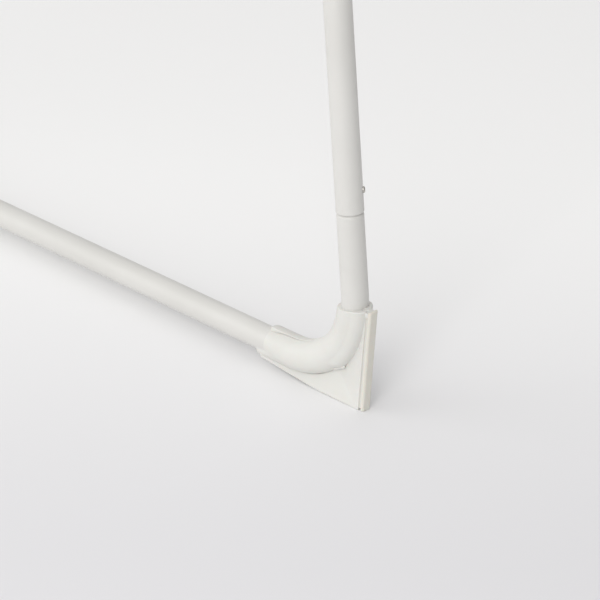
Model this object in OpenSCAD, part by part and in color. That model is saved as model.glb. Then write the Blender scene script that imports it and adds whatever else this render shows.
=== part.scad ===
// Curtain rod with corner brackets: a sectional rod of thin steel tube, bent up at both ends.
// A moulded bracket and a clip-on cover hold each bend. Tubes plug together at snap-button joints.
// Origin: middle of the span, floor level, middle of the tubes. X runs along the rod, Z is up.

/* [Frame] */
// Distance between the two outer bracket corners
span = 800; // [600:10:1200]
// Height of the rod's axis over the bracket corners
rod_height = 19.6; // [18:0.1:21]
// Distance of the upright's axis inside the bracket corner, at rod height
upright_inset = 6.3; // [5:0.1:8]
// Inward lean of the uprights
upright_lean = 5; // [3:0.1:6]
// Radius of the tube bend, on its centre line
bend_radius = 60; // [56:1:62]

/* [Tube] */
// Outside diameter of the tube
tube_d = 19; // [18:0.1:20]
// Wall of the tube
tube_wall = 1; // [0.8:0.1:1.2]
// Length of a bent tube's upright leg, from the rod's axis to the joint
stub_len = 125.3; // [110:0.1:140]
// Outside diameter of the plug-on upright, which has the same bore
upright_d = 19.4; // [19:0.1:20]
// Length of the plug-on upright tube
upright_len = 200; // [120:5:400]
// Length of the reduced end that plugs into the next tube
spigot_len = 42; // [36:1:50]

/* [Bracket] */
// Outside diameter of the moulded sleeve round the bend
sleeve_d = 24.4; // [24:0.1:25]
// Length of the sleeve along the rod, from the crossing of the axes
sleeve_rod = 95.5; // [90:0.5:105]
// Length of the bracket's half of the sleeve along the rod, shorter than the cover's
back_rod = 87; // [80:0.5:90]
// Height of the sleeve's end up the upright, from the crossing of the axes
sleeve_up = 57; // [55:0.5:60]
// Depth of the plane where the cover meets the bracket, in front of the tube's axis
parting = 2.4; // [2:0.1:4]
// Length of the base flange
base_len = 103; // [95:1:110]
// Height of the wall flange
wall_len = 76.4; // [70:0.2:78]
// Depth of both flanges, front to back
flange_d = 8; // [8:0.5:12]
// Thickness of the flange plates
flange_t = 2.6; // [2:0.1:3]
// Upward tilt of the base flange, towards the middle of the rod
base_tilt = 0.4; // [0:0.1:4]
// Outward lean of the wall flange
wall_lean = 5.1; // [2:0.1:6]

/* [Wall strip] */
// Height of the strip, a little over the flange's
strip_len = 78; // [78:1:84]
// Thickness of the strip on the wall flange
strip_t = 2.2; // [1.4:0.1:2.4]
// Width of the groove between strip and flange
groove_w = 2.2; // [0.8:0.1:2.4]
// Depth of that groove
groove_depth = 1.2; // [1:0.1:2]

/* [Snap button] */
// Diameter of the button
button_d = 4.8; // [4:0.1:5.5]
// How far the button stands out of the tube
button_proud = 1.3; // [1:0.1:1.6]
// Distance from the joint to the button
button_up = 15.7; // [14:0.1:24]
// Direction of the upright buttons, from straight outwards towards the back
button_turn = 45; // [0:1:90]
// Width of the spring leaf
leaf_w = 6.4; // [6:0.1:7]
// Thickness of the spring leaf
leaf_t = 0.5; // [0.4:0.05:0.6]

/* [Screws] */
// Thread diameter of the screws that pin the bent tube in its bracket
screw_d = 3.5; // [3:0.1:4]
// Head diameter of those screws
screw_head_d = 7; // [6:0.1:8]

/* [Hidden] */
$fn = 96;

tube_r = tube_d / 2;
bore_r = tube_r - tube_wall;
spigot_r = bore_r - 0.1;
spigot_bore_r = spigot_r - tube_wall;
shoulder_r = 2.2;                     // rounding where a tube narrows to its spigot
joint_gap = 0.5;                      // seam left between two plugged tubes
sleeve_r = sleeve_d / 2;
fit = 0.1;                            // clearance of the moulded parts round the tube
half_gap = 0.15;                      // half the gap of the parting line
corner_x = span / 2;
cross_x = corner_x - upright_inset;   // where the rod's and the upright's axes cross
turn = 90 + upright_lean;             // angle the tube is bent through
tangent = bend_radius * tan(turn / 2);
sleeve_turn = turn - (tangent - sleeve_up) / bend_radius * 180 / PI;  // bend inside the sleeve
band = 0.05;                          // height of the bands that join a bar's legs to its bend
cap = 3.5;                            // the groove is closed this far from its top
head_t = 1.6;                         // thickness of a screw's head
head_seat = sleeve_r - head_t;        // seat of the heads, sunk flush in the bracket's back
web_taper = 0.1;                      // how fast each side of the web draws in, away from a flange
big = 200;
white = [0.88, 0.87, 0.85];
cream = [0.91, 0.91, 0.89];
steel = [0.7, 0.71, 0.72];

// Puts children's Z axis on the right upright's axis, with z = 0 where it crosses the rod's axis.
module on_upright() {
    translate([cross_x, 0, rod_height]) rotate([0, -upright_lean, 0]) children();
}

// Puts children's Z axis along the rod, pointing to -X, with z = 0 at the same crossing.
module on_rod() {
    translate([cross_x, 0, rod_height]) rotate([0, -90, 0]) children();
}

// Puts children in the base flange's frame: X inwards along its underside, Z up from it.
module on_base() {
    translate([corner_x, 0, 0]) rotate([0, base_tilt, 0]) mirror([1, 0, 0]) children();
}

// Puts children in the wall flange's frame: X up along its outer face, Z inwards from it.
module on_wall() {
    translate([corner_x, 0, 0]) rotate([0, wall_lean, 0]) rotate([0, -90, 0]) children();
}

// Round bar of radius r along the bend, with legs up to the given distances from the crossing.
// A narrow band, a hair proud, joins each straight leg to the bend.
module bent_bar(r, rod_end, up_end) {
    start = tangent - band;
    module leg(end) {
        translate([0, 0, start]) cylinder(r = r, h = end - start);
        translate([0, 0, tangent - 4 * band]) cylinder(r = r + band, h = 8 * band);
    }
    on_rod() leg(rod_end);
    on_upright() leg(up_end);
    on_bend(-90) rotate_extrude(angle = turn) translate([bend_radius, 0]) circle(r = r);
}

// Solid sleeve round the bend, cut square to the upright inside the bend's upper end.
module sleeve(rod_end, up_end) {
    difference() {
        bent_bar(sleeve_r, rod_end, tangent + 2);
        on_upright() translate([-big / 2, -big / 2, up_end]) cube(big);
    }
}

// Puts children's Z axis on the bend's own axis, pointing forwards, turned by an angle.
module on_bend(angle) {
    translate([cross_x - tangent, 0, rod_height + bend_radius])
        rotate([90, 0, 0]) rotate([0, 0, angle]) children();
}

// Outer skin of a spigot with its rounded shoulder, rising from z = 0 at the full tube.
module spigot_skin() {
    rotate_extrude() {
        translate([0, -4 * band]) square([tube_r + band, 8 * band]);
        square([spigot_r, shoulder_r + spigot_len]);
        square([tube_r - shoulder_r, shoulder_r]);
        intersection() {
            translate([tube_r - shoulder_r, 0]) circle(r = shoulder_r);
            square([tube_r, shoulder_r]);
        }
    }
}

// Bore of a spigot, with the cone that opens it into the full tube.
module spigot_bore() {
    translate([0, 0, -1]) cylinder(r = spigot_bore_r, h = spigot_len + shoulder_r + 2);
    translate([0, 0, -shoulder_r]) cylinder(r1 = bore_r, r2 = spigot_bore_r, h = shoulder_r);
}

// Round hole through one wall only, facing +X at height z.
module side_hole(d, z) {
    translate([0, 0, z]) rotate([0, 90, 0]) cylinder(d = d, h = big / 4);
}

// Tube of radius r that slides over a spigot, its rim rounded; z = 0 is the rim.
module socket_tube(r, len) {
    rim = (r - bore_r) / 2;
    rotate_extrude() {
        translate([bore_r, rim]) square([2 * rim, len - rim]);
        translate([bore_r + rim, rim]) circle(r = rim);
    }
}

// Right bent tube: rod half with a spigot at mid-span, the bend, and the stub with its spigot.
module right_tube() {
    color(white) difference() {
        union() {
            bent_bar(tube_r, cross_x - shoulder_r, stub_len - shoulder_r);
            on_stub_end() spigot_skin();
            on_rod() translate([0, 0, cross_x - shoulder_r]) spigot_skin();
        }
        bent_bar(bore_r, cross_x - 2 * shoulder_r, stub_len - 2 * shoulder_r);
        on_stub_end() spigot_bore();
        on_rod() translate([0, 0, cross_x - shoulder_r]) spigot_bore();
        on_stub_joint() side_hole(button_d + 0.4, button_up);
        on_mid_joint() side_hole(button_d + 0.4, button_up);
        screw_places() cylinder(d = screw_d + 0.1, h = big / 4);
    }
}

// Left bent tube: the same, but its rod end is the socket that takes the right tube's spigot.
module left_tube() {
    rim = 1.5;
    color(white) difference() {
        union() {
            mirror([1, 0, 0]) {
                bent_bar(tube_r, cross_x - joint_gap - rim + 0.5, stub_len - shoulder_r);
                on_stub_end() spigot_skin();
            }
            translate([-joint_gap, 0, rod_height]) rotate([0, -90, 0]) socket_tube(tube_r, rim);
        }
        mirror([1, 0, 0]) {
            bent_bar(bore_r, cross_x - joint_gap - rim + 1, stub_len - 2 * shoulder_r);
            on_stub_end() spigot_bore();
            on_stub_joint() side_hole(button_d + 0.4, button_up);
            screw_places() cylinder(d = screw_d + 0.1, h = big / 4);
        }
        on_mid_joint() side_hole(button_d + 0.6, button_up);
    }
}

// The two screws, one near each end of the sleeve. Z points out of the bracket's back.
module screw_places() {
    on_rod() translate([0, 0, back_rod - 10]) rotate([-90, 0, 0]) children();
    on_bend(sleeve_turn - 103) translate([bend_radius, 0]) rotate([180, 0, 0]) children();
}

// A point of the bend's centre line, at an angle from straight down.
function on_curve(angle) = [
    cross_x - tangent + bend_radius * sin(angle),
    rod_height + bend_radius * (1 - cos(angle))
];

// Side outline of the web: from the corner along both flanges, and back inside the tube.
function web_outline() = [
    [corner_x, 0],
    [corner_x - base_len * cos(base_tilt), base_len * sin(base_tilt)],
    [corner_x - base_len * cos(base_tilt), rod_height],
    on_curve(0),
    on_curve(sleeve_turn / 2),
    on_curve(sleeve_turn - 4),
    [corner_x + wall_len * sin(wall_lean), wall_len * cos(wall_lean)]
];

// Web between the flanges and the sleeve: thickest at the flanges, with a mitre between them.
module web() {
    rise = 42;
    dish = 20;
    edge = flange_d / 2;
    thin = edge - web_taper * dish;
    module slab(len) {
        rotate([90, 0, 90]) linear_extrude(len)
            polygon([
                [-edge, 0], [edge, 0], [edge, 0.8], [thin, dish],
                [thin, rise], [-thin, rise], [-thin, dish], [-edge, 0.8]
            ]);
    }
    intersection() {
        rotate([90, 0, 0]) linear_extrude(big, center = true) polygon(web_outline());
        union() {
            on_base() slab(base_len);
            on_wall() translate([0, 0, strip_t + groove_w]) slab(wall_len);
        }
    }
}

// Right bracket: back half of the sleeve, both flanges and the web between them.
module right_bracket() {
    land_d = flange_d - 2 * groove_depth;
    cap_d = flange_d - 0.4;
    plate_start = strip_t + groove_w - 0.3;
    color(cream) difference() {
        union() {
            intersection() {
                sleeve(back_rod, sleeve_up);
                translate([0, half_gap - parting, -big]) cube([span, big, 2 * big]);
            }
            on_base() translate([plate_start, -flange_d / 2, 0])
                cube([base_len - plate_start, flange_d, flange_t]);
            on_wall() {
                translate([0, -flange_d / 2, strip_t + groove_w]) cube([wall_len, flange_d, flange_t]);
                translate([0, 0, strip_t]) linear_extrude(groove_w + 1) {
                    translate([1, -land_d / 2]) square([wall_len - cap - 0.5, land_d]);
                    translate([wall_len - cap, -cap_d / 2]) square([cap - 0.3, cap_d]);
                }
            }
            intersection() {
                web();
                on_wall() translate([-5, -big / 2, strip_t + groove_w]) cube([wall_len + 5, big, big]);
            }
            screw_places() cylinder(d = screw_head_d + 2.4, h = sleeve_r - 0.3);
        }
        bent_bar(tube_r + fit, sleeve_rod + 5, tangent + 20);
        intersection() {
            bent_bar(sleeve_r + 2 * half_gap, sleeve_rod + 5, tangent + 20);
            translate([0, half_gap - parting - big, -big]) cube([span, big, 2 * big]);
        }
        screw_places() {
            cylinder(d = screw_d + 0.4, h = big / 4);
            translate([0, 0, head_seat]) cylinder(d = screw_head_d + 0.4, h = 10);
        }
    }
}

// Right cover: front part of the sleeve.
module right_cover() {
    color(cream) difference() {
        sleeve(sleeve_rod, sleeve_up);
        bent_bar(tube_r + fit, sleeve_rod + 5, tangent + 20);
        translate([0, -half_gap - parting, -big]) cube([span, big, 2 * big]);
    }
}

// Right wall strip: flat face that goes against the wall.
module right_wall_strip() {
    color(cream) on_wall() translate([0, -flange_d / 2, 0]) cube([strip_len, flange_d, strip_t]);
}

// Right screws: pan heads sunk in the bracket's back, with a cross recess.
module right_screws() {
    color(steel) screw_places() difference() {
        union() {
            translate([0, 0, bore_r - 2]) cylinder(d = screw_d, h = head_seat - bore_r + 2);
            translate([0, 0, bore_r - 3.2]) cylinder(d1 = 1, d2 = screw_d, h = 1.2);
            translate([0, 0, head_seat])
                cylinder(d1 = screw_head_d, d2 = screw_head_d - 1.4, h = head_t);
        }
        for (a = [0, 90]) rotate([0, 0, a])
            translate([-1.9, -0.4, head_seat + head_t - 0.9]) cube([3.8, 0.8, 3]);
    }
}

// Spring: the leaf that lies on the far wall of a spigot, and its bend. Button side is +X.
leaf_out = spigot_bore_r - 1.1;       // outer face of the moving leaf
leaf_back = spigot_bore_r - 1.0;      // outer face of the resting leaf
bend_mid = (leaf_out - leaf_back) / 2;
bend_r = (leaf_out + leaf_back) / 2;
leaf_low = 10;                        // height over the joint where the bend starts
leaf_top = button_up + 8;

module spring() {
    color(steel) {
        translate([-leaf_back, -leaf_w / 2, leaf_low]) cube([leaf_t, leaf_w, leaf_top - leaf_low]);
        translate([bend_mid, leaf_w / 2, leaf_low]) rotate([90, 0, 0]) difference() {
            cylinder(r = bend_r, h = leaf_w);
            translate([0, 0, -1]) cylinder(r = bend_r - leaf_t, h = leaf_w + 2);
            translate([-big / 2, 0, -1]) cube([big, big, leaf_w + 2]);
        }
    }
}

// Button: its domed pin and the moving leaf that it is riveted to.
module button() {
    dome = button_d / 2;
    tip = upright_d / 2 + button_proud;
    color(steel) {
        translate([leaf_out - leaf_t, -leaf_w / 2, leaf_low + 0.5])
            cube([leaf_t, leaf_w, leaf_top - leaf_low - 0.5]);
        translate([0, 0, button_up]) rotate([0, 90, 0]) rotate_extrude() {
            translate([0, leaf_out]) square([dome, tip - 1.2 - leaf_out]);
            intersection() {
                translate([dome - 1.2, tip - 1.2]) circle(r = 1.2);
                square([dome, tip]);
            }
            translate([0, leaf_out]) square([dome - 1.2, tip - leaf_out]);
        }
    }
}

module on_stub_end() {
    on_upright() translate([0, 0, stub_len - shoulder_r]) children();
}

module on_stub_joint() {
    on_upright() translate([0, 0, stub_len]) rotate([0, 0, button_turn]) children();
}

module on_mid_joint() {
    translate([0, 0, rod_height]) rotate([0, -90, 0]) rotate([0, 0, 90]) children();
}

module rod_spring() { on_mid_joint() spring(); }
module rod_button() { on_mid_joint() button(); }
module right_spring() { on_stub_joint() spring(); }
module right_button() { on_stub_joint() button(); }

// Right upright: plain tube whose lower end slides over the stub's spigot.
module right_upright() {
    color(white) on_upright() translate([0, 0, stub_len + joint_gap]) difference() {
        socket_tube(upright_d / 2, upright_len);
        rotate([0, 0, button_turn]) side_hole(button_d + 0.6, button_up - joint_gap);
    }
}

// Right end plug: domed head over the tube's end, ribbed hollow shank inside it.
module right_end_plug() {
    head = 3;
    shank = 16;
    head_r = upright_d / 2;
    shank_r = bore_r - 0.35;
    color(cream) on_upright() translate([0, 0, stub_len + joint_gap + upright_len])
        rotate_extrude() {
            square([head_r, head - 1.5]);
            square([head_r - 1.5, head]);
            intersection() {
                translate([head_r - 1.5, head - 1.5]) circle(r = 1.5);
                square([head_r, head]);
            }
            translate([shank_r - 1.4, -shank]) square([1.4, shank + 0.5]);
            for (i = [1:3]) translate([shank_r - 0.4, -shank * i / 3.6]) circle(r = 0.7);
        }
}

module left_bracket() { mirror([1, 0, 0]) right_bracket(); }
module left_cover() { mirror([1, 0, 0]) right_cover(); }
module left_wall_strip() { mirror([1, 0, 0]) right_wall_strip(); }
module left_screws() { mirror([1, 0, 0]) right_screws(); }
module left_spring() { mirror([1, 0, 0]) right_spring(); }
module left_button() { mirror([1, 0, 0]) right_button(); }
module left_upright() { mirror([1, 0, 0]) right_upright(); }
module left_end_plug() { mirror([1, 0, 0]) right_end_plug(); }

rod_spring();
rod_button();
right_tube();
right_bracket();
right_cover();
right_wall_strip();
right_screws();
right_spring();
right_button();
right_upright();
right_end_plug();
left_tube();
left_bracket();
left_cover();
left_wall_strip();
left_screws();
left_spring();
left_button();
left_upright();
left_end_plug();
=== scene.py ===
"""Looks of the curtain rod: moulded corner brackets, painted tubes, steel fittings and the studio.

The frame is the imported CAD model. The brackets, covers, wall strips and end plugs are rebuilt here
as smooth moulded shapes with fillets and rounded edges, and the tubes as smooth bent pipes. The
screws, springs and buttons are the CAD's own. Everything is in metres.
"""

import math

import bpy
import numpy as np
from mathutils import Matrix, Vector


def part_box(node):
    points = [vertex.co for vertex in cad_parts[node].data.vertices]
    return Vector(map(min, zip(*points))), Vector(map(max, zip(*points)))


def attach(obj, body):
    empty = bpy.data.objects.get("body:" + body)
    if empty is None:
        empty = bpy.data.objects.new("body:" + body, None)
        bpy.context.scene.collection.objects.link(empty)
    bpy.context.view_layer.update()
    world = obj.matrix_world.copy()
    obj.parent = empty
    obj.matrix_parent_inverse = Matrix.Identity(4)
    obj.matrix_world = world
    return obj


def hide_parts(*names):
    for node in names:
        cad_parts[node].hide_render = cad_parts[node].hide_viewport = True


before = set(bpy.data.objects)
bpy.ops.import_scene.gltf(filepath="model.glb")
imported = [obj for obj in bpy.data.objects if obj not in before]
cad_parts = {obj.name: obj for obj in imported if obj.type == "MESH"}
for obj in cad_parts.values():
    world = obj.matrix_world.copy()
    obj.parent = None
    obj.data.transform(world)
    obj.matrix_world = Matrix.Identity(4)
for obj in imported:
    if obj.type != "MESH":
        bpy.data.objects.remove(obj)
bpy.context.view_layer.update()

# Tube line, in the right bracket's plane
CORNER_X = 0.4                      # outer bottom corner of the right bracket
LEAN = math.radians(5)              # inward lean of the upright
CROSS_X = CORNER_X - 0.0063         # where the rod's and the upright's axes cross
ROD_Z = 0.0196
BEND_R = 0.060
TURN = math.pi / 2 + LEAN
TANGENT = BEND_R * math.tan(TURN / 2)
TUBE_R = 0.0095
BORE_R = 0.0085
UPRIGHT_R = 0.0097
STUB_LEN = 0.1253                   # from the crossing to the stub's end
UPRIGHT_LEN = 0.200
JOINT_GAP = 0.0005
SPIGOT_R = 0.0084
SPIGOT_BORE = 0.0074
SPIGOT_LEN = 0.042
SHOULDER = 0.0022                   # length over which a tube's bore narrows to its spigot's
ROUNDED = 0.0022                    # rounding of a tube's shoulder, and of an end plug's head
RIM = 0.0006                        # rounding of an open end, and under the head
BUTTON_UP = 0.0157                  # a button's height over its joint

# Holes in the tubes: radii, and the side they are on, from outwards of the bend to the back
IN_SPIGOT, IN_SOCKET = 0.0026, 0.0027
SCREW_HOLE = 0.0018
SLANTED = math.pi / 4
BACKWARDS = math.pi / 2

# Distances along the tube's own line, from mid-span
BEND_START = CROSS_X - TANGENT
BEND_END = BEND_START + BEND_R * TURN
STUB_END = BEND_END + STUB_LEN - TANGENT
SOCKET = STUB_END + JOINT_GAP       # lower rim of the upright

# Moulded bracket
SLEEVE_R = 0.0122
COVER_ROD = 0.0955                  # sleeve's end along the rod: the cover's half, and the back's
BACK_ROD = 0.087
SLEEVE_UP = 0.057
PARTING = 0.0024                    # the cover meets the bracket this far in front of the axis
HALF_GAP = 0.00015                  # of the seam between them
BASE_LEN = 0.103
BASE_TILT = math.radians(0.4)
WALL_LEN = 0.0764
WALL_LEAN = math.radians(5.1)
WALL_FOOT = 0.004                   # its foot under the corner, which the base's underside cuts
FLANGE_D = 0.008
STRIP_LEN = 0.078
STRIP_T = 0.0022
STRIP_CHAMFER = 0.0010
GROOVE_W = 0.0022
GROOVE_DEPTH = 0.0012
LAND_INSET = 0.001                  # of the groove's floor from the flange's ends
CAP = 0.0035                        # the groove is closed this far from its top
WEB_TAPER = 0.1                     # slope of the web's facets
WEB_DISH = (0.0008, 0.020)          # distances from a flange between which they slope
BITE = 0.0003                       # the mouldings reach this far into the tube's wall
HEAD_R = 0.0035                     # screw head
SEAT_GAP = 0.0002
SEAT_DEPTH = 0.0016
SHANK_HOLE = 0.00195
BOSS_WALL = 0.0012                  # plastic round a screw's seat
BOSS_LOW = 0.0002                   # it ends this far inside the sleeve's outside
SCREW_X = CROSS_X - BACK_ROD + 0.010            # the screw on the rod, and the one on the bend
SCREW_ANGLE = TURN - (TANGENT - SLEEVE_UP) / BEND_R - math.radians(13)

# Cover
COVER_SLACK = 0.0001                # room for it beyond the sleeve's outside
CATCH = (0.67, 0.81)                # angles of the bend between which the cover's catch lies
CATCH_R = 0.0008
CATCH_FRONT = 0.0040                # its middle lies this far in front of the axis
CATCH_OUT = (-0.0004, 0.0022)       # how far its ends stand out of the sleeve
CHEEK = 0.0021                      # extra thickness from the catch upwards
CHEEK_END = 3                       # angle at which it ends, over the bend's middle
FEATHER = 0.0030                    # thinning towards the rod
FEATHER_BITE = 0.0007
FEATHER_FROM, FEATHER_TO = 0.030, 0.004         # distances from the cover's end on the rod

# End plug
PLUG_UP = STUB_LEN + JOINT_GAP + UPRIGHT_LEN    # rim of the upright, where the head sits
HEAD_UP = 0.003                     # height of the head
CROWN = 0.0006                      # how much lower its edge is
SHANK_LEN = 0.016
SHANK_TOP = 0.0008                  # it goes on into the head this far
SHANK_R = 0.00815
SHANK_WALL = 0.0014
RIB_R = 0.0003                      # the ribs stand out of the shank this far
RIBS = 3.6                          # rib spacings in the shank's length
RIB_TOP = 0.002                     # plain length under the head

# Roundings of edges, and fillets
EDGE = 0.0009                       # outer edges of the mouldings
SEAM_EDGE = 0.0008                  # the cover's edges along the seam
SOFT = 0.0006
THIN = 0.0005                       # edges of the strip and of a tube's wall
FILLET = 0.0004
BACK_FILLET = 0.0018                # added to it between sleeve and web, from front to back
BACK_RAMP = (-0.0016, 0.0010)       # depths between which it is added
BOSS_FILLET = 0.0014
CRISP = 0.0003                      # edges of a cut
CUTTER = 0.0002                     # inner corners of a cut

# Grids that the shapes are meshed on
BRACKET_PITCH = 0.00051
COVER_PITCH = 0.00045
STRIP_PITCH = 0.00048
PLUG_PITCH = 0.00036
MARGIN = 0.0035                     # room round a CAD piece's box for what stands out of it
FINE, WIDE = 0.0005, 0.005          # steps along a pipe, at its features and between them
NEAR = 0.0045                       # the fine steps reach this far from a feature
BEFORE, AFTER = 0.00213, 0.002      # room at a pipe's ends; no line passes exactly through one
PULLS = 4                           # times that a point is pulled onto the surface
LEAST_SLOPE = 0.2                   # squared, for those pulls


# ---- Solid shapes as distance fields -------------------------------------------------------

def smooth_min(a, b, k):
    """Union of two fields with a fillet of about k."""
    h = np.maximum(k - np.abs(a - b), 0) / k
    return np.minimum(a, b) - h * h * k / 4


def smooth_max(a, b, k):
    """Intersection of two fields with an edge rounded by about k."""
    return -smooth_min(-a, -b, k)


def all_of(k, *fields):
    """Intersection of several fields, its edges rounded by about k."""
    result = fields[0]
    for field in fields[1:]:
        result = smooth_max(result, field, k)
    return result


def ramp(value, start, end):
    """Smooth step from 0 at start to 1 at end."""
    t = np.clip((value - start) / (end - start), 0, 1)
    return t * t * (3 - 2 * t)


def block(k, u, v, w):
    """Box from (low, value, high) triples, its edges rounded by about k."""
    sides = [np.maximum(low - value, value - high) for low, value, high in (u, v, w)]
    return all_of(k, *sides)


def tube_line(x, z):
    """Offset from the tube's axis, positive outside the bend, and height along the upright."""
    qx, qz = x - BEND_START, z - (ROD_Z + BEND_R)
    angle = np.arctan2(qx, -qz)
    up = (z - ROD_Z) * math.cos(LEAN) - (x - CROSS_X) * math.sin(LEAN)
    beside = (x - CROSS_X) * math.cos(LEAN) + (z - ROD_Z) * math.sin(LEAN)
    bend = np.hypot(qx, qz) - BEND_R
    offset = np.where(qx < 0, ROD_Z - z, np.where(angle > TURN, beside, bend))
    return offset, up, angle


def on_curve(angle, outside):
    """Point in the bend's plane at an angle from straight down, outside the tube's axis."""
    arm = BEND_R + outside
    return (BEND_START + arm * math.sin(angle), ROD_Z + BEND_R - arm * math.cos(angle))


def bar_field(x, y, z, start, end, r):
    """Round-ended bar between two points (x, z) of the plane y = 0."""
    ax, az = end[0] - start[0], end[1] - start[1]
    t = np.clip(((x - start[0]) * ax + (z - start[1]) * az) / (ax * ax + az * az), 0, 1)
    return np.sqrt((x - start[0] - t * ax) ** 2 + y * y + (z - start[1] - t * az) ** 2) - r


def on_base(x, z):
    """Distance inwards along the base flange's underside, and height over it."""
    dx = CORNER_X - x
    return (dx * math.cos(BASE_TILT) + z * math.sin(BASE_TILT),
            z * math.cos(BASE_TILT) - dx * math.sin(BASE_TILT))


def on_wall(x, z):
    """Distance up the wall flange's outer face, and depth inwards from it."""
    dx = CORNER_X - x
    return (z * math.cos(WALL_LEAN) - dx * math.sin(WALL_LEAN),
            dx * math.cos(WALL_LEAN) + z * math.sin(WALL_LEAN))


def screw_fields(x, z):
    """Distance from the axis of each of the two screws, which stand on the tube's axis."""
    bend_x, bend_z = on_curve(SCREW_ANGLE, 0)
    return np.hypot(x - SCREW_X, z - ROD_Z), np.hypot(x - bend_x, z - bend_z)


def bracket_field(x, y, z):
    """Back half of the sleeve, the web with its two facets, and the flanges."""
    offset, up, _ = tube_line(x, z)
    radius = np.hypot(offset, y)
    rod = CROSS_X - x
    base_along, base_high = on_base(x, z)
    wall_along, wall_in = on_wall(x, z)
    plate_in = wall_in - STRIP_T - GROOVE_W

    sleeve = all_of(EDGE, radius - SLEEVE_R, rod - BACK_ROD, up - SLEEVE_UP)
    sleeve = smooth_max(sleeve, HALF_GAP - PARTING - y, CRISP)
    height = np.clip(np.minimum(base_high, plate_in), *WEB_DISH)
    side = np.abs(y) - FLANGE_D / 2 + WEB_TAPER * (height - WEB_DISH[0])
    web = all_of(EDGE, side, -plate_in, base_along - BASE_LEN,
                 wall_along - WALL_LEN, -wall_along - WALL_FOOT)
    web = smooth_max(web, -base_high, CRISP)
    web = smooth_max(web, -offset, FILLET)
    body = smooth_min(sleeve, web, FILLET + BACK_FILLET * ramp(y, *BACK_RAMP))
    screws = screw_fields(x, z)
    for screw in screws:
        boss = all_of(EDGE, screw - HEAD_R - BOSS_WALL, y - SLEEVE_R + BOSS_LOW, -y)
        body = smooth_min(body, boss, BOSS_FILLET)

    plate = STRIP_T + GROOVE_W + LAND_INSET
    land = all_of(CRISP, np.abs(y) - (FLANGE_D / 2 - GROOVE_DEPTH), STRIP_T - wall_in,
                  wall_in - plate, LAND_INSET - wall_along, wall_along - WALL_LEN + LAND_INSET)
    cap = block(SOFT, (WALL_LEN - CAP, wall_along, WALL_LEN), (-FLANGE_D / 2, y, FLANGE_D / 2),
                (STRIP_T, wall_in, plate))
    body = smooth_min(body, smooth_min(land, cap, FILLET), FILLET)

    cover_room = smooth_max(radius - SLEEVE_R - COVER_SLACK, y + PARTING - HALF_GAP, CUTTER)
    body = smooth_max(body, -cover_room, SOFT)
    body = smooth_max(body, TUBE_R - BITE - radius, CRISP)
    for screw in screws:
        seat = smooth_max(screw - HEAD_R - SEAT_GAP, SLEEVE_R - SEAT_DEPTH - y, CUTTER)
        body = smooth_max(body, -seat, CRISP)
        body = smooth_max(body, -smooth_max(screw - SHANK_HOLE, -y, CUTTER), CRISP)
    return body


def cover_field(x, y, z):
    """Front part of the sleeve: thinned towards the rod, and fuller over the wall's facet."""
    offset, up, angle = tube_line(x, z)
    radius = np.hypot(offset, y)
    rod = CROSS_X - x
    outwards = offset / np.maximum(radius, 1e-6)
    feather = ramp(rod, COVER_ROD - FEATHER_FROM, COVER_ROD - FEATHER_TO)
    feather = feather * ramp(outwards, 0.97, 0.35)
    cheek = ramp(angle, *CATCH) * ramp(outwards, 0.45, 0.95) * (angle < CHEEK_END)
    outer = radius - SLEEVE_R + FEATHER * feather - CHEEK * cheek
    shell = all_of(EDGE, outer, rod - COVER_ROD, up - SLEEVE_UP)
    shell = smooth_max(shell, y + PARTING + HALF_GAP, SEAM_EDGE)
    ends = [on_curve(at, SLEEVE_R + out) for at, out in zip(CATCH, CATCH_OUT)]
    shell = smooth_min(shell, bar_field(x, y + CATCH_FRONT, z, *ends, CATCH_R), SOFT)
    return smooth_max(shell, TUBE_R - BITE - FEATHER_BITE * feather - radius, CRISP)


def strip_field(x, y, z):
    """Flat strip that goes against the wall."""
    along, inwards = on_wall(x, z)
    slab = block(THIN, (0, along, STRIP_LEN), (-FLANGE_D / 2, y, FLANGE_D / 2),
                 (0, inwards, STRIP_T))
    chamfer = (np.abs(y) - FLANGE_D / 2 + STRIP_CHAMFER - inwards) / math.sqrt(2)
    return smooth_max(slab, chamfer, THIN)


def plug_field(x, y, z):
    """Crowned head over the upright's rim, and the hollow ribbed shank inside it."""
    offset, up, _ = tube_line(x, z)
    radius = np.hypot(offset, y)
    high = up - PLUG_UP
    crown = high - HEAD_UP + CROWN * (radius / UPRIGHT_R) ** 2
    head = smooth_max(all_of(ROUNDED, radius - UPRIGHT_R, crown), -high, RIM)
    wave = np.maximum(0, np.cos(2 * math.pi * high * RIBS / SHANK_LEN))
    rib = RIB_R * wave * (high < -RIB_TOP)
    shank = all_of(FILLET, radius - SHANK_R - rib, SHANK_R - SHANK_WALL - radius,
                   -SHANK_LEN - high, high - SHANK_TOP)
    return smooth_min(head, shank, CRISP)


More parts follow.
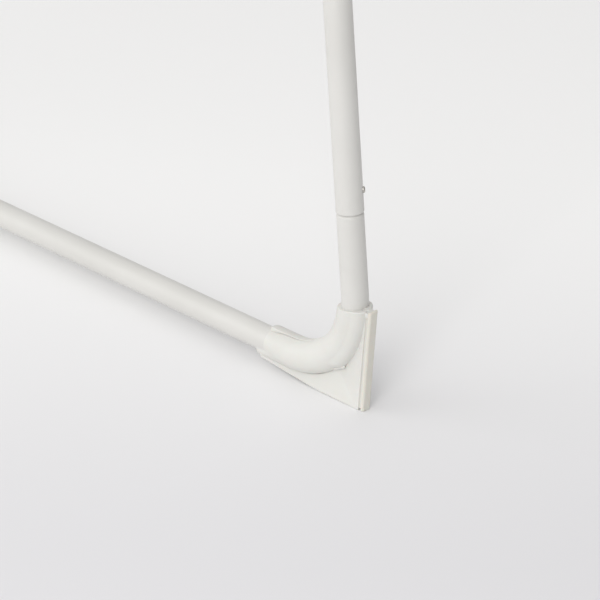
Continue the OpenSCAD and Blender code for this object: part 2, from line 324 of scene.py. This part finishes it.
def pipe(low, high, r, low_spigot, high_spigot, holes):
    """Field of a pipe in its own straight coordinates: along it, outwards of the bend, and back.

    It runs from low to high, and a spigot goes on past either end. Each hole has a place along
    the pipe, a side and a radius.
    """
    def field(along, out, back):
        radius = np.hypot(out, back)
        outer = smooth_max(radius - r, low - along, ROUNDED if low_spigot else RIM)
        outer = smooth_max(outer, along - high, ROUNDED if high_spigot else RIM)
        if high_spigot:
            first = low - SPIGOT_LEN if low_spigot else low + SPIGOT_LEN
            spigot = all_of(THIN, radius - SPIGOT_R, first - along, along - high - SPIGOT_LEN)
            outer = smooth_min(outer, spigot, CRISP)
        inset = np.minimum(along - low if low_spigot else SPIGOT_LEN,
                           high - along if high_spigot else SPIGOT_LEN)
        narrow = 1 - np.clip(inset / SHOULDER - 1, 0, 1)
        body = smooth_max(outer, BORE_R - (BORE_R - SPIGOT_BORE) * narrow - radius, THIN)
        for place, angle, hole_r in holes:
            side = out * math.cos(angle) + back * math.sin(angle)
            across = back * math.cos(angle) - out * math.sin(angle)
            drill = smooth_max(np.hypot(along - place, across) - hole_r, -side, CUTTER)
            body = smooth_max(body, -drill, CRISP)
        return body
    return field


def bent(points):
    """Straight pipe coordinates to the scene's, with the frame's axes at each point."""
    along, out, back = points.T
    angle = np.clip((along - BEND_START) / BEND_R, 0, TURN)
    past = along - BEND_START - BEND_R * angle
    sin, cos, none = np.sin(angle), np.cos(angle), np.zeros_like(angle)
    place = np.stack([BEND_START + (BEND_R + out) * sin + past * cos, back,
                      ROD_Z + BEND_R - (BEND_R + out) * cos + past * sin], axis=1)
    axes = np.stack([np.stack([cos, none, sin], 1), np.stack([sin, none, -cos], 1),
                     np.stack([none, none + 1, none], 1)], axis=1)
    return place, axes


# ---- Meshing the fields --------------------------------------------------------------------

def slope(field, points):
    """Gradient of a field at points."""
    step = 2e-5
    out = np.empty_like(points)
    for axis in range(3):
        shift = np.zeros(3)
        shift[axis] = step
        out[:, axis] = field(*(points + shift).T) - field(*(points - shift).T)
    return out / (2 * step)


def cell_points(value, lines):
    """A point in each grid cell that the surface crosses: the mean of its edges' crossings."""
    cells = tuple(len(line) - 1 for line in lines)
    total = np.zeros(cells + (3,))
    hits = np.zeros(cells, int)

    def corner(offset):
        return tuple(slice(o, o + c) for o, c in zip(offset, cells))

    for axis in range(3):
        for a in (0, 1):
            for b in (0, 1):
                start = [a, b]
                start.insert(axis, 0)
                end = list(start)
                end[axis] = 1
                v0, v1 = value[corner(start)], value[corner(end)]
                cross = (v0 < 0) != (v1 < 0)
                t = np.where(cross, v0 / np.where(cross, v0 - v1, 1), 0)
                for k in range(3):
                    total[..., k] += np.where(cross, t if k == axis else start[k], 0)
                hits += cross
    used = hits > 0
    number = np.full(cells, -1)
    number[used] = np.arange(used.sum())
    where = np.argwhere(used)
    start = np.stack([line[where[:, k]] for k, line in enumerate(lines)], axis=1)
    width = np.stack([np.diff(line)[where[:, k]] for k, line in enumerate(lines)], axis=1)
    return start + width * total[used] / hits[used][:, None], width, number


def net_faces(value, number):
    """A face round each grid edge that the surface crosses, from the points of its four cells."""
    quads = []
    for axis in range(3):
        u, v = (axis + 1) % 3, (axis + 2) % 3
        v0 = value[tuple(slice(0, -1) if k == axis else slice(1, -1) for k in range(3))]
        v1 = value[tuple(slice(1, None) if k == axis else slice(1, -1) for k in range(3))]
        for flip in (False, True):
            edge = np.argwhere((v0 >= 0) & (v1 < 0) if flip else (v0 < 0) & (v1 >= 0))
            edge[:, u] += 1
            edge[:, v] += 1
            ring = []
            for du, dv in ((-1, -1), (0, -1), (0, 0), (-1, 0)):
                cell = edge.copy()
                cell[:, u] += du
                cell[:, v] += dv
                ring.append(number[tuple(cell.T)])
            quads.append(np.stack(ring[::-1] if flip else ring, axis=1))
    return np.concatenate(quads)


def mesh_of(field, lines):
    """Points pulled onto the surface, faces, and normals from the field's gradient."""
    value = field(*np.meshgrid(*lines, indexing="ij"))
    points, width, number = cell_points(value, lines)
    for _ in range(PULLS):
        gradient = slope(field, points)
        steep = np.maximum((gradient * gradient).sum(1), LEAST_SLOPE)
        move = gradient * (field(*points.T) / steep)[:, None]
        points -= np.clip(move, -width / 3, width / 3)
    return points, net_faces(value, number), slope(field, points)


def even(low, high, pitch):
    """Evenly spaced grid lines."""
    return low + pitch * np.arange(int(math.ceil((high - low) / pitch)) + 1)


def along_pipe(low, high, features):
    """Grid lines along a pipe: close together at its features, wide apart on its plain lengths."""
    lines = [low - BEFORE]
    while lines[-1] < high + AFTER:
        here = lines[-1]
        ahead = [place - NEAR - here for place in features if place + NEAR > here]
        curved = BEND_START - WIDE < here < BEND_END
        lines.append(here + max(FINE, min(ahead + [WIDE / 2 if curved else WIDE])))
    return np.array(lines)


def mesh_object(name, points, faces, normals, mirrored):
    """Smooth-shaded object with those normals; mirrored flips it to the left end."""
    if mirrored:
        points, normals = points * (-1, 1, 1), normals * (-1, 1, 1)
        faces = faces[:, ::-1]
    mesh = bpy.data.meshes.new(name)
    mesh.from_pydata(points.tolist(), [], faces.tolist())
    mesh.shade_smooth()
    length = np.linalg.norm(normals, axis=1, keepdims=True)
    mesh.normals_split_custom_set_from_vertices((normals / np.maximum(length, 1e-9)).tolist())
    obj = bpy.data.objects.new(name, mesh)
    bpy.context.scene.collection.objects.link(obj)
    return obj


# ---- Materials -----------------------------------------------------------------------------

class Surface:
    """A Principled material with helpers that add procedural detail in object coordinates."""

    def __init__(self, name, **values):
        self.material = bpy.data.materials.new(name)
        self.material.use_nodes = True
        self.tree = self.material.node_tree
        self.shader = self.tree.nodes["Principled BSDF"]
        self.place = self.add("ShaderNodeTexCoord").outputs["Object"]
        self.relief = None
        for key, value in values.items():
            self.shader.inputs[key.replace("_", " ")].default_value = value

    def add(self, kind, **settings):
        node = self.tree.nodes.new(kind)
        for key, value in settings.items():
            setattr(node, key, value)
        return node

    def link(self, a, b):
        self.tree.links.new(a, b)

    def noise(self, scale, detail, stretch=None, seed=0.0):
        """Noise of so many features per metre; stretch scales its axes."""
        place = self.place
        if stretch or seed:
            mapping = self.add("ShaderNodeMapping")
            mapping.inputs["Scale"].default_value = stretch or (1, 1, 1)
            mapping.inputs["Location"].default_value = (seed, seed * 0.7, -seed)
            self.link(place, mapping.inputs["Vector"])
            place = mapping.outputs[0]
        node = self.add("ShaderNodeTexNoise")
        node.inputs["Scale"].default_value = scale
        node.inputs["Detail"].default_value = detail
        self.link(place, node.inputs["Vector"])
        return node.outputs["Fac"]

    def spread(self, source, low, high, to_low, to_high):
        """Maps a value's range low..high to another one, and stays inside it."""
        node = self.add("ShaderNodeMapRange", interpolation_type="SMOOTHSTEP")
        for key, value in (("From Min", low), ("From Max", high),
                           ("To Min", to_low), ("To Max", to_high)):
            node.inputs[key].default_value = value
        self.link(source, node.inputs["Value"])
        return node.outputs["Result"]

    def blend(self, factor, a, b):
        """Colour between a and b; each is a colour or another node's output."""
        node = self.add("ShaderNodeMix", data_type="RGBA")
        self.link(factor, node.inputs["Factor"])
        for name, colour in (("A", a), ("B", b)):
            socket = [s for s in node.inputs if s.name == name and s.type == "RGBA"][0]
            if isinstance(colour, tuple):
                socket.default_value = (*colour, 1)
            else:
                self.link(colour, socket)
        return [s for s in node.outputs if s.type == "RGBA"][0]

    def colour(self, source):
        self.link(source, self.shader.inputs["Base Color"])

    def roughness(self, source):
        self.link(source, self.shader.inputs["Roughness"])

    def bump(self, source, depth):
        """Adds relief of that depth, in metres, to what is there."""
        node = self.add("ShaderNodeBump")
        node.inputs["Distance"].default_value = depth
        self.link(source, node.inputs["Height"])
        if self.relief:
            self.link(self.relief, node.inputs["Normal"])
        self.relief = node.outputs["Normal"]
        self.link(self.relief, self.shader.inputs["Normal"])


def white_paint():
    """Warm white powder paint: faint clouds, specks and rubs, over a fine orange peel."""
    s = Surface("white_paint", Specular_IOR_Level=0.5, Coat_Weight=0.12, Coat_Roughness=0.3)
    clouds = s.spread(s.noise(14, 3), 0.35, 0.68, 0, 1)
    tone = s.blend(clouds, (0.652, 0.645, 0.620), (0.625, 0.618, 0.592))
    specks = s.spread(s.noise(1500, 1, seed=3), 0.70, 0.78, 0, 0.35)
    rubs = s.spread(s.noise(60, 5, stretch=(1, 6, 1), seed=8), 0.62, 0.74, 0, 0.22)
    tone = s.blend(specks, tone, (0.56, 0.545, 0.51))
    s.colour(s.blend(rubs, tone, (0.62, 0.607, 0.575)))
    s.roughness(s.spread(s.noise(90, 4, seed=5), 0.3, 0.7, 0.32, 0.44))
    s.bump(s.noise(620, 2), 0.00006)
    s.bump(s.noise(2600, 1, seed=1), 0.000015)
    return s.material


def moulded(name, light, dark):
    """Off-white plastic with flow marks, lighter on its edges, and with painted shade in its
    creases: a warm darker tone.
    """
    s = Surface(name, Specular_IOR_Level=0.45, Subsurface_Weight=0.06, Subsurface_Scale=0.002)
    tone = s.blend(s.spread(s.noise(26, 3), 0.3, 0.7, 0, 1), light, dark)
    flow = s.spread(s.noise(45, 4, stretch=(1, 1, 0.25), seed=4), 0.55, 0.75, 0, 0.3)
    tone = s.blend(flow, tone, tuple(c * 0.955 for c in light))
    pointed = s.add("ShaderNodeNewGeometry").outputs["Pointiness"]
    edge = s.spread(pointed, 0.50, 0.56, 0, 0.35)
    tone = s.blend(edge, tone, tuple(c * 1.045 for c in light))
    # Painted shade: a warm darker tone where the surface folds inwards, in place of the shade that
    # falls in the creases.
    painted_crease_shade = s.spread(pointed, 0.485, 0.40, 0, 0.72)
    s.colour(s.blend(painted_crease_shade, tone, (0.64, 0.555, 0.385)))
    s.roughness(s.spread(s.noise(160, 3, seed=2), 0.3, 0.7, 0.40, 0.54))
    s.bump(s.noise(1900, 3), 0.00004)
    s.bump(s.noise(110, 2, seed=6), 0.00009)
    return s.material


def metal(name, colour, rough, stretch, grain):
    """Bare or plated steel, clouded and streaked; stretch sets the way of the streaks."""
    s = Surface(name, Metallic=1.0)
    dark = tuple(c * 0.72 for c in colour)
    cloud = s.blend(s.spread(s.noise(260, 4), 0.35, 0.7, 0, 1), colour, dark)
    streak = s.spread(s.noise(900, 3, stretch=stretch, seed=2), 0.45, 0.7, 0, 0.6)
    s.colour(s.blend(streak, cloud, tuple(c * 0.85 for c in colour)))
    scuffs = s.noise(700, 3, stretch=stretch, seed=7)
    s.roughness(s.spread(scuffs, 0.3, 0.7, rough - 0.07, rough + 0.09))
    s.bump(s.noise(1600, 2, stretch=stretch, seed=4), grain)
    return s.material


FINISH = {
    "white_paint": white_paint(),
    "bracket_plastic": moulded("bracket_plastic", (0.700, 0.697, 0.666), (0.674, 0.671, 0.637)),
    "strip_plastic": moulded("strip_plastic", (0.705, 0.688, 0.622), (0.679, 0.661, 0.593)),
    "plug_plastic": moulded("plug_plastic", (0.75, 0.745, 0.715), (0.72, 0.715, 0.685)),
    "zinc_steel": metal("zinc_steel", (0.66, 0.67, 0.68), 0.32, (1, 1, 1), 0.00002),
    "spring_steel": metal("spring_steel", (0.50, 0.51, 0.53), 0.28, (6, 6, 1), 0.000012),
    "button_nickel": metal("button_nickel", (0.56, 0.54, 0.50), 0.24, (1, 4, 1), 0.000008),
}


def dress(obj, slot):
    """Gives an object the finish of a slot."""
    obj.data.materials.clear()
    obj.data.materials.append(FINISH[slot])


# ---- Pieces --------------------------------------------------------------------------------

MOULDED = (
    ("bracket", bracket_field, "bracket_plastic", BRACKET_PITCH),
    ("cover", cover_field, "bracket_plastic", COVER_PITCH),
    ("wall_strip", strip_field, "strip_plastic", STRIP_PITCH),
    ("end_plug", plug_field, "plug_plastic", PLUG_PITCH),
)
for part, field, slot, pitch in MOULDED:
    box = zip(*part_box("right_" + part))
    mesh = mesh_of(field, [even(low - MARGIN, high + MARGIN, pitch) for low, high in box])
    for side in ("right", "left"):
        piece = mesh_object(f"{side}_{part}_moulded", *mesh, side == "left")
        dress(piece, slot)
        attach(piece, "frame")
        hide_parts(f"{side}_{part}")

# Holes that both bent tubes have: place along the tube, side and radius
SHARED = ((STUB_END + BUTTON_UP, SLANTED, IN_SPIGOT), (SCREW_X, BACKWARDS, SCREW_HOLE),
          (BEND_START + BEND_R * SCREW_ANGLE, BACKWARDS, SCREW_HOLE))
# Per tube: its ends, radius, whether each end has a spigot, and its holes
UPRIGHT = (SOCKET, SOCKET + UPRIGHT_LEN, UPRIGHT_R, False, False,
           ((STUB_END + BUTTON_UP, SLANTED, IN_SOCKET),))
PIPES = {
    "right_tube": (0, STUB_END, TUBE_R, True, True,
                   SHARED + ((-BUTTON_UP, BACKWARDS, IN_SPIGOT),)),
    "left_tube": (JOINT_GAP, STUB_END, TUBE_R, False, True,
                  SHARED + ((BUTTON_UP, BACKWARDS, IN_SOCKET),)),
    "right_upright": UPRIGHT,
    "left_upright": UPRIGHT,
}
ACROSS = even(-0.01063, 0.0106, 0.00049)    # no line passes exactly through a wall
for part, (low, high, r, low_spigot, high_spigot, holes) in PIPES.items():
    first, last = low - SPIGOT_LEN * low_spigot, high + SPIGOT_LEN * high_spigot
    features = [low, high, first, last] + [place for place, _, _ in holes]
    lines = along_pipe(first, last, features), ACROSS, ACROSS
    straight = pipe(low, high, r, low_spigot, high_spigot, holes)
    points, faces, normals = mesh_of(straight, lines)
    points, axes = bent(points)
    normals = np.einsum("ni,nij->nj", normals, axes)
    piece = mesh_object(part + "_painted", points, faces, normals, part.startswith("left"))
    dress(piece, "white_paint")
    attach(piece, "frame")
    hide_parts(part)

CARRIED = {
    "zinc_steel": ("right_screws", "left_screws"),
    "spring_steel": ("right_spring", "left_spring", "rod_spring"),
    "button_nickel": ("right_button", "left_button", "rod_button"),
}
for slot, names in CARRIED.items():
    for name in names:
        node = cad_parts[name]
        for i in range(len(node.data.materials)):
            node.data.materials[i] = FINISH[slot]


# ---- Studio --------------------------------------------------------------------------------

TURN_RIGHT, RAISED = math.radians(44.9), math.radians(27.39)    # camera, from straight in front
DISTANCE = 2.493
FIELD = 0.4119                      # width of view at the bracket
AIM_LEFT, AIM_UP = 0.0418, 0.0560   # aim of the camera, from the crossing
CROSSING = Vector((CROSS_X, 0, ROD_Z))
FLOOR_HALF = 4.0
FLOOR_DROP = 0.00005                # keeps the floor clear of the flanges that rest on it
FLOOR_NEAR, FLOOR_FAR = -0.58, 0.14             # depths between which painted light makes the floor lighter
ROOM_LEFT, ROOM_RIGHT = 0.86, 0.355             # brightness of the room on either side


def aimed(obj, place, target):
    """Puts an object at a place, its -Z axis towards the target."""
    obj.location = place
    obj.rotation_mode = "QUATERNION"
    obj.rotation_quaternion = (Vector(target) - Vector(place)).to_track_quat("-Z", "Y")
    bpy.context.scene.collection.objects.link(obj)
    return obj


def softbox(name, offset, size, power, colour):
    """Round soft light, aimed at the crossing from an offset."""
    light = bpy.data.lights.new(name, "AREA")
    light.shape = "DISK"
    light.size = size
    light.energy = power
    light.color = colour
    aimed(bpy.data.objects.new(name, light), CROSSING + Vector(offset), CROSSING)


def floor_material():
    """Matt paper with painted light: darker near the front, lighter away from it."""
    s = Surface("floor_paper", Specular_IOR_Level=0.2)
    grain = s.spread(s.noise(2.2, 2), 0.3, 0.7, 0, 0.5)
    paper = s.blend(grain, (0.755, 0.752, 0.772), (0.74, 0.737, 0.757))
    sweep = s.add("ShaderNodeMapping")
    sweep.inputs["Rotation"].default_value = (0, 0, -TURN_RIGHT)
    s.link(s.place, sweep.inputs["Vector"])
    split = s.add("ShaderNodeSeparateXYZ")
    s.link(sweep.outputs[0], split.inputs[0])
    # Painted light: the colour goes from the darker paper in front to near white far off.
    painted_light_far = s.spread(split.outputs["Y"], FLOOR_NEAR, FLOOR_FAR, 0, 1)
    s.colour(s.blend(painted_light_far, paper, (0.985, 0.985, 0.985)))
    s.roughness(s.spread(s.noise(40, 3), 0.3, 0.7, 0.75, 0.9))
    s.bump(s.noise(900, 3), 0.00003)
    return s.material


def room_light():
    """World of warm white light, brighter on the left of the picture than on its right."""
    world = bpy.data.worlds.new("studio")
    world.use_nodes = True
    nodes = world.node_tree.nodes
    sky = nodes["Background"]
    sky.inputs["Color"].default_value = (1.0, 0.995, 0.99, 1)
    turned = nodes.new("ShaderNodeMapping")
    turned.inputs["Rotation"].default_value = (0, 0, -TURN_RIGHT)
    split = nodes.new("ShaderNodeSeparateXYZ")
    strength = nodes.new("ShaderNodeMapRange")
    strength.interpolation_type = "SMOOTHSTEP"
    for key, value in (("From Min", -0.1), ("From Max", 0.9),
                       ("To Min", ROOM_LEFT), ("To Max", ROOM_RIGHT)):
        strength.inputs[key].default_value = value
    directions = nodes.new("ShaderNodeTexCoord").outputs["Generated"]
    for a, b in ((directions, turned.inputs["Vector"]),
                 (turned.outputs[0], split.inputs[0]),
                 (split.outputs["X"], strength.inputs["Value"]),
                 (strength.outputs["Result"], sky.inputs["Strength"])):
        world.node_tree.links.new(a, b)
    return world


corners = [(x * FLOOR_HALF, y * FLOOR_HALF, 0) for x, y in ((-1, -1), (1, -1), (1, 1), (-1, 1))]
floor_mesh = bpy.data.meshes.new("floor")
floor_mesh.from_pydata(corners, [], [(0, 1, 2, 3)])
floor_mesh.materials.append(floor_material())
floor = bpy.data.objects.new("floor", floor_mesh)
floor.location.z = -FLOOR_DROP
bpy.context.scene.collection.objects.link(floor)

bpy.context.scene.world = room_light()
bpy.context.scene.view_settings.view_transform = "Standard"
softbox("window", (0.89, -1.48, 1.35), 1.0, 13.5, (1, 0.99, 0.975))
softbox("left_wall", (-1.7, -1.5, 0.9), 1.8, 7.2, (1, 0.995, 0.985))
softbox("low_front", (0.5, -1.5, 0.2), 0.9, 3, (1, 0.995, 0.985))

# Far off with a long lens
right = Vector((math.cos(TURN_RIGHT), math.sin(TURN_RIGHT), 0))
back = Vector((math.sin(TURN_RIGHT) * math.cos(RAISED), -math.cos(TURN_RIGHT) * math.cos(RAISED),
               math.sin(RAISED)))
up = back.cross(right)
aim = CROSSING - right * AIM_LEFT + up * AIM_UP
lens = bpy.data.cameras.new("camera")
lens.lens = lens.sensor_width * DISTANCE / FIELD
lens.clip_end = 30
camera = aimed(bpy.data.objects.new("camera", lens), CROSSING + back * DISTANCE, aim)
bpy.context.scene.camera = camera
